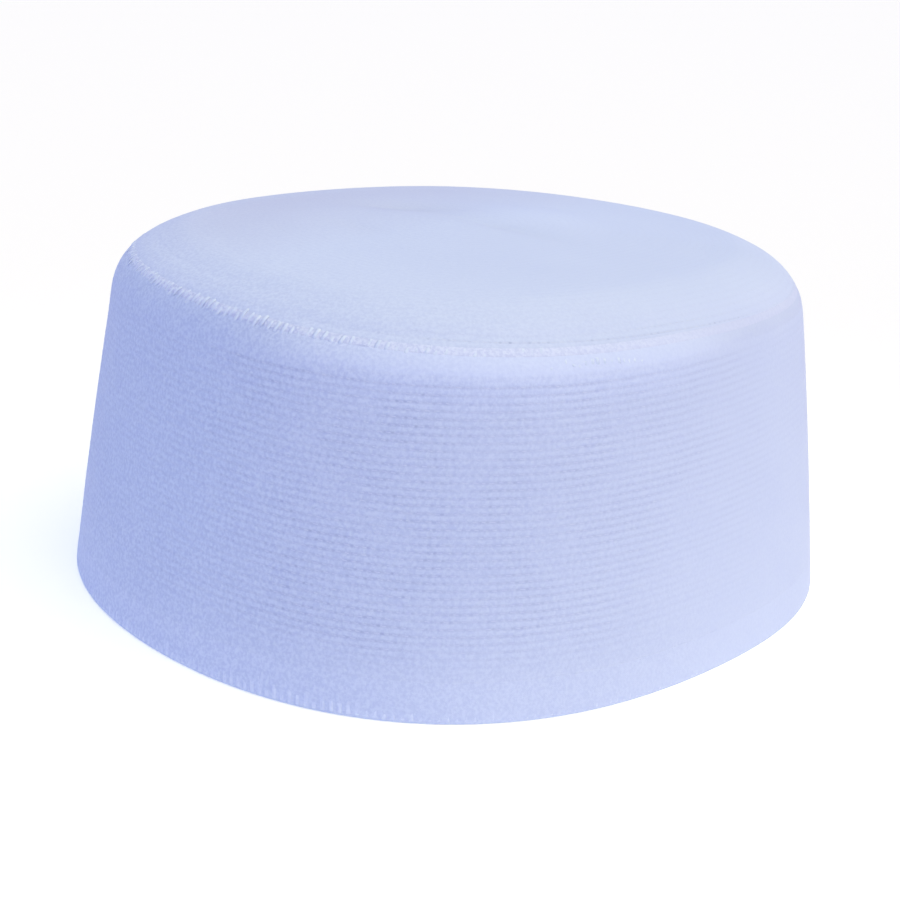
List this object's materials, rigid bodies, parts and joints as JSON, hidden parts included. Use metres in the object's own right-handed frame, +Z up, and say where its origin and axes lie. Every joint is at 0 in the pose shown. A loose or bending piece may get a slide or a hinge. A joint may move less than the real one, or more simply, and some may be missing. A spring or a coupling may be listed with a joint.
{
  "type": "prayer cap",
  "caption": "White stitched cloth prayer cap with an upright ribbed side wall, a rounded corner and a nearly flat top, open underneath.",
  "frame": {"origin": "on the ground under the middle of the rim's box, where the cap rests", "axes": "+Z up through the top, -Y to the cap's front, the side that the picture shows, +X to its right"},
  "size_m": [0.19, 0.1868, 0.089],
  "materials": {
    "hem_cloth": "white cotton hem, matt, machine stitched",
    "band_cloth": "white cotton in close stitched ribs, matt",
    "seam_thread": "white cotton thread in close slanting stitches, slight sheen",
    "top_cloth": "white cotton, finely stitched, matt"
  },
  "bodies": {
    "root": {"rim_hem": "hem_cloth", "side_band": "band_cloth", "top_seam": "seam_thread", "top_panel": "top_cloth"}
  },
  "joints": []
}
